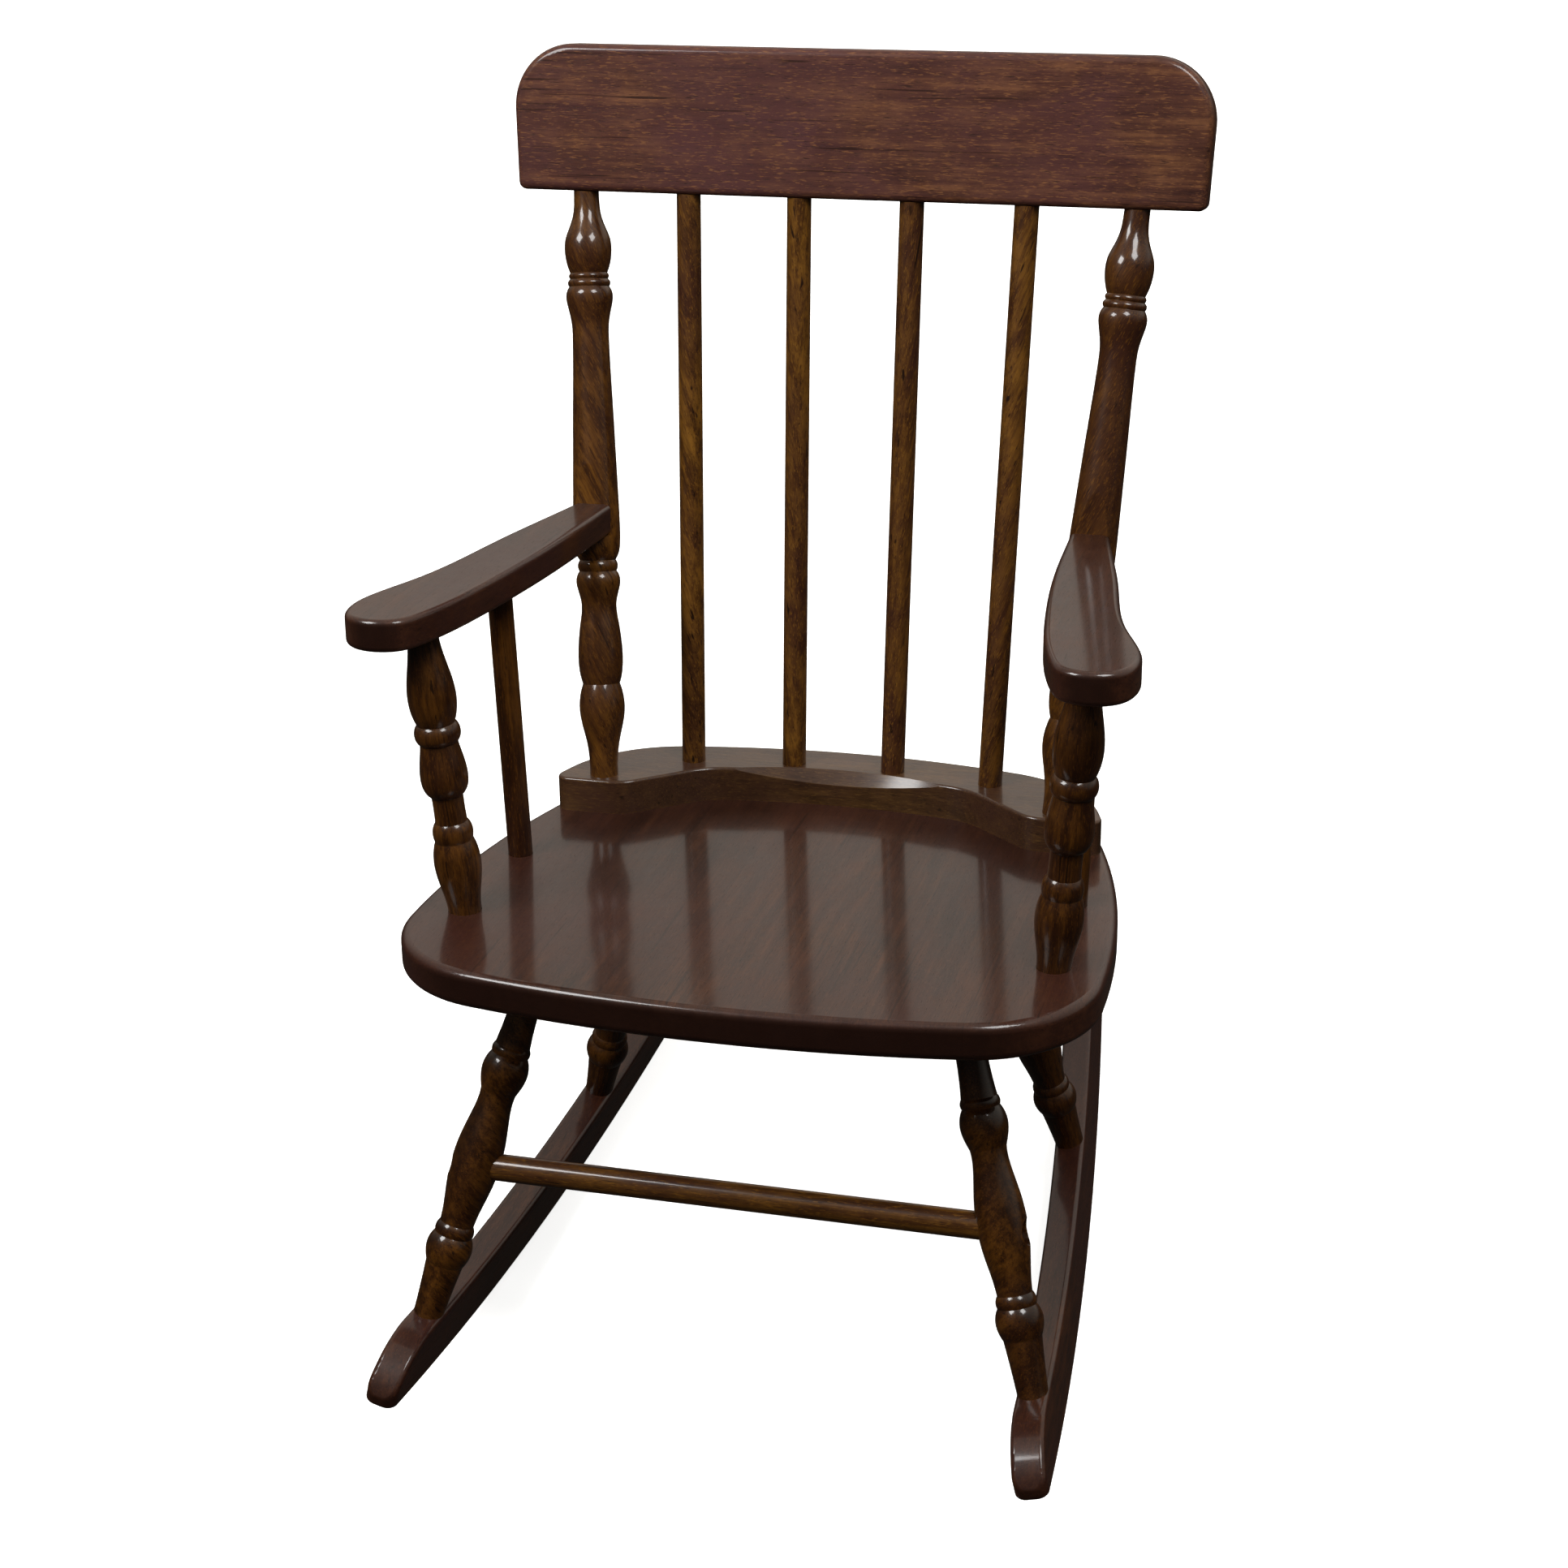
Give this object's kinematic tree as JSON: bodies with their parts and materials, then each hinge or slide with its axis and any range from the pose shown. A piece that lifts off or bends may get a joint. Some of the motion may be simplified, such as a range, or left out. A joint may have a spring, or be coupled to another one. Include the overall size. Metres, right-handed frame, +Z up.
{
  "type": "rocking chair",
  "caption": "Low spindle-back rocking chair with turned posts and legs, shaped arms, a solid plank seat and curved rockers.",
  "frame": {"origin": "middle of the chair's footprint on the floor, at the bottom of its bounding box", "axes": "+Z up, the chair faces -Y, +X to the viewer's right when looking at its front; it stands as it balances on its rockers"},
  "size_m": [0.443, 0.542, 0.6794],
  "materials": {
    "seat_board": "dark cherry-brown stain under satin-gloss clear lacquer",
    "crest_board": "dark cherry-brown stain under satin-gloss clear lacquer",
    "back_rail_board": "dark cherry-brown stain under satin-gloss clear lacquer",
    "arm_boards": "dark cherry-brown stain under satin-gloss clear lacquer",
    "rocker_boards": "dark cherry-brown stain under satin-gloss clear lacquer",
    "turned_posts": "dark cherry-brown stain under satin-gloss clear lacquer",
    "dowels": "dark cherry-brown stain under satin-gloss clear lacquer",
    "wood_plugs": "dark cherry-brown stain under satin-gloss clear lacquer, end grain",
    "screw_steel": "zinc-plated wood screws"
  },
  "bodies": {
    "root": {"seat": "seat_board", "back_rail": "back_rail_board", "crest_rail": "crest_board", "back_spindle_1": "dowels", "back_spindle_2": "dowels", "back_spindle_3": "dowels", "back_spindle_4": "dowels", "back_post_left": "turned_posts", "back_post_right": "turned_posts", "arm_left": "arm_boards", "arm_right": "arm_boards", "arm_post_left": "turned_posts", "arm_post_right": "turned_posts", "arm_spindle_left": "dowels", "arm_spindle_right": "dowels", "front_leg_left": "turned_posts", "front_leg_right": "turned_posts", "rear_leg_left": "turned_posts", "rear_leg_right": "turned_posts", "rocker_left": "rocker_boards", "rocker_right": "rocker_boards", "front_stretcher": "dowels", "rail_screws": "screw_steel", "arm_screws": "screw_steel", "arm_plugs": "wood_plugs", "rocker_screws": "screw_steel"}
  },
  "joints": []
}
